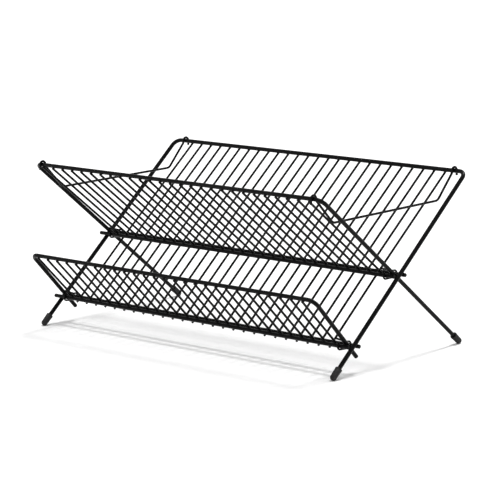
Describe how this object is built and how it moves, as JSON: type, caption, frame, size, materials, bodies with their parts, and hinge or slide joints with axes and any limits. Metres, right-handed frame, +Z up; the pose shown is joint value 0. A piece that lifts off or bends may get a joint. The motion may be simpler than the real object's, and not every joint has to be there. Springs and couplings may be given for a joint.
{
  "type": "dish drying rack",
  "caption": "Folding wire dish rack with an X-shaped upper trough held open by hooked struts, a lower front shelf and rubber-capped feet.",
  "frame": {"origin": "on the table, under the middle of the rack's footprint", "axes": "+X along the rack, +Y to its rear, +Z up"},
  "size_m": [0.4866, 0.2742, 0.2105],
  "materials": {
    "powder_coat": "satin black powder coat",
    "rubber": "matt black rubber"
  },
  "bodies": {
    "rear_panel": {"rear_frame": "powder_coat", "rear_middle_rod": "powder_coat", "rear_lower_rod": "powder_coat", "rear_wires_01": "powder_coat", "rear_wires_02": "powder_coat", "rear_wires_03": "powder_coat", "rear_wires_04": "powder_coat", "rear_wires_05": "powder_coat", "rear_wires_06": "powder_coat", "rear_wires_07": "powder_coat", "rear_wires_08": "powder_coat", "rear_wires_09": "powder_coat", "rear_wires_10": "powder_coat", "rear_wires_11": "powder_coat", "rear_wires_12": "powder_coat", "rear_wires_13": "powder_coat", "front_foot_left": "rubber", "front_foot_right": "rubber"},
    "front_panel": {"front_frame": "powder_coat", "front_rod": "powder_coat", "front_wire_centre": "powder_coat", "front_wires_01": "powder_coat", "front_wires_02": "powder_coat", "front_wires_03": "powder_coat", "front_wires_04": "powder_coat", "front_wires_05": "powder_coat", "front_wires_06": "powder_coat", "front_wires_07": "powder_coat", "front_wires_08": "powder_coat", "front_wires_09": "powder_coat", "front_wires_10": "powder_coat", "front_wires_11": "powder_coat", "front_wires_12": "powder_coat", "front_wires_13": "powder_coat", "rear_foot_left": "rubber", "rear_foot_right": "rubber"},
    "lower_panel": {"lower_frame": "powder_coat", "lower_rod": "powder_coat", "lower_wire_centre": "powder_coat", "lower_wires_01": "powder_coat", "lower_wires_02": "powder_coat", "lower_wires_03": "powder_coat", "lower_wires_04": "powder_coat", "lower_wires_05": "powder_coat", "lower_wires_06": "powder_coat", "lower_wires_07": "powder_coat", "lower_wires_08": "powder_coat", "lower_wires_09": "powder_coat", "lower_wires_10": "powder_coat", "lower_wires_11": "powder_coat", "lower_wires_12": "powder_coat", "lower_wires_13": "powder_coat"},
    "strut_left": {"strut_left": "powder_coat"},
    "middle_clip_left": {"middle_clip_left": "powder_coat"},
    "lower_clip_left": {"lower_clip_left": "powder_coat"},
    "strut_right": {"strut_right": "powder_coat"},
    "middle_clip_right": {"middle_clip_right": "powder_coat"},
    "lower_clip_right": {"lower_clip_right": "powder_coat"}
  },
  "joints": [
    {"name": "fold", "type": "hinge", "parent": "rear_panel", "child": "front_panel", "pos_m": [0.00163, 0.00615, 0.10047], "axis": [-1, 0, 0], "range_deg": [0, 94]},
    {"name": "lower_tier_fold", "type": "hinge", "parent": "rear_panel", "child": "lower_panel", "pos_m": [0.00163, -0.07583, 0.03217], "axis": [-1, 0, 0], "range_deg": [0, 85.01]},
    {"name": "strut_left_swing", "type": "hinge", "parent": "rear_panel", "child": "strut_left", "pos_m": [-0.21851, 0.1313, 0.20474], "axis": [-1, 0, 0], "range_deg": [0, 310.21]},
    {"name": "middle_clip_left_swing", "type": "hinge", "parent": "rear_panel", "child": "middle_clip_left", "pos_m": [-0.22287, 0.01396, 0.10067], "axis": [-1, 0, 0], "range_deg": [0, 47.01]},
    {"name": "lower_clip_left_swing", "type": "hinge", "parent": "rear_panel", "child": "lower_clip_left", "pos_m": [-0.22287, -0.06858, 0.0319], "axis": [-1, 0, 0], "range_deg": [0, 42.51]},
    {"name": "strut_right_swing", "type": "hinge", "parent": "rear_panel", "child": "strut_right", "pos_m": [0.22179, 0.1313, 0.20474], "axis": [-1, 0, 0], "range_deg": [0, 310.21]},
    {"name": "middle_clip_right_swing", "type": "hinge", "parent": "rear_panel", "child": "middle_clip_right", "pos_m": [0.22614, 0.01396, 0.10067], "axis": [-1, 0, 0], "range_deg": [0, 47.01]},
    {"name": "lower_clip_right_swing", "type": "hinge", "parent": "rear_panel", "child": "lower_clip_right", "pos_m": [0.22614, -0.06858, 0.0319], "axis": [-1, 0, 0], "range_deg": [0, 42.51]}
  ],
  "couplings": [
    {"joint": "lower_tier_fold", "follows": "fold", "ratio": 0.90426},
    {"joint": "strut_left_swing", "follows": "fold", "ratio": 3.3},
    {"joint": "middle_clip_left_swing", "follows": "fold", "ratio": 0.5},
    {"joint": "lower_clip_left_swing", "follows": "fold", "ratio": 0.45213},
    {"joint": "strut_right_swing", "follows": "fold", "ratio": 3.3},
    {"joint": "middle_clip_right_swing", "follows": "fold", "ratio": 0.5},
    {"joint": "lower_clip_right_swing", "follows": "fold", "ratio": 0.45213}
  ]
}
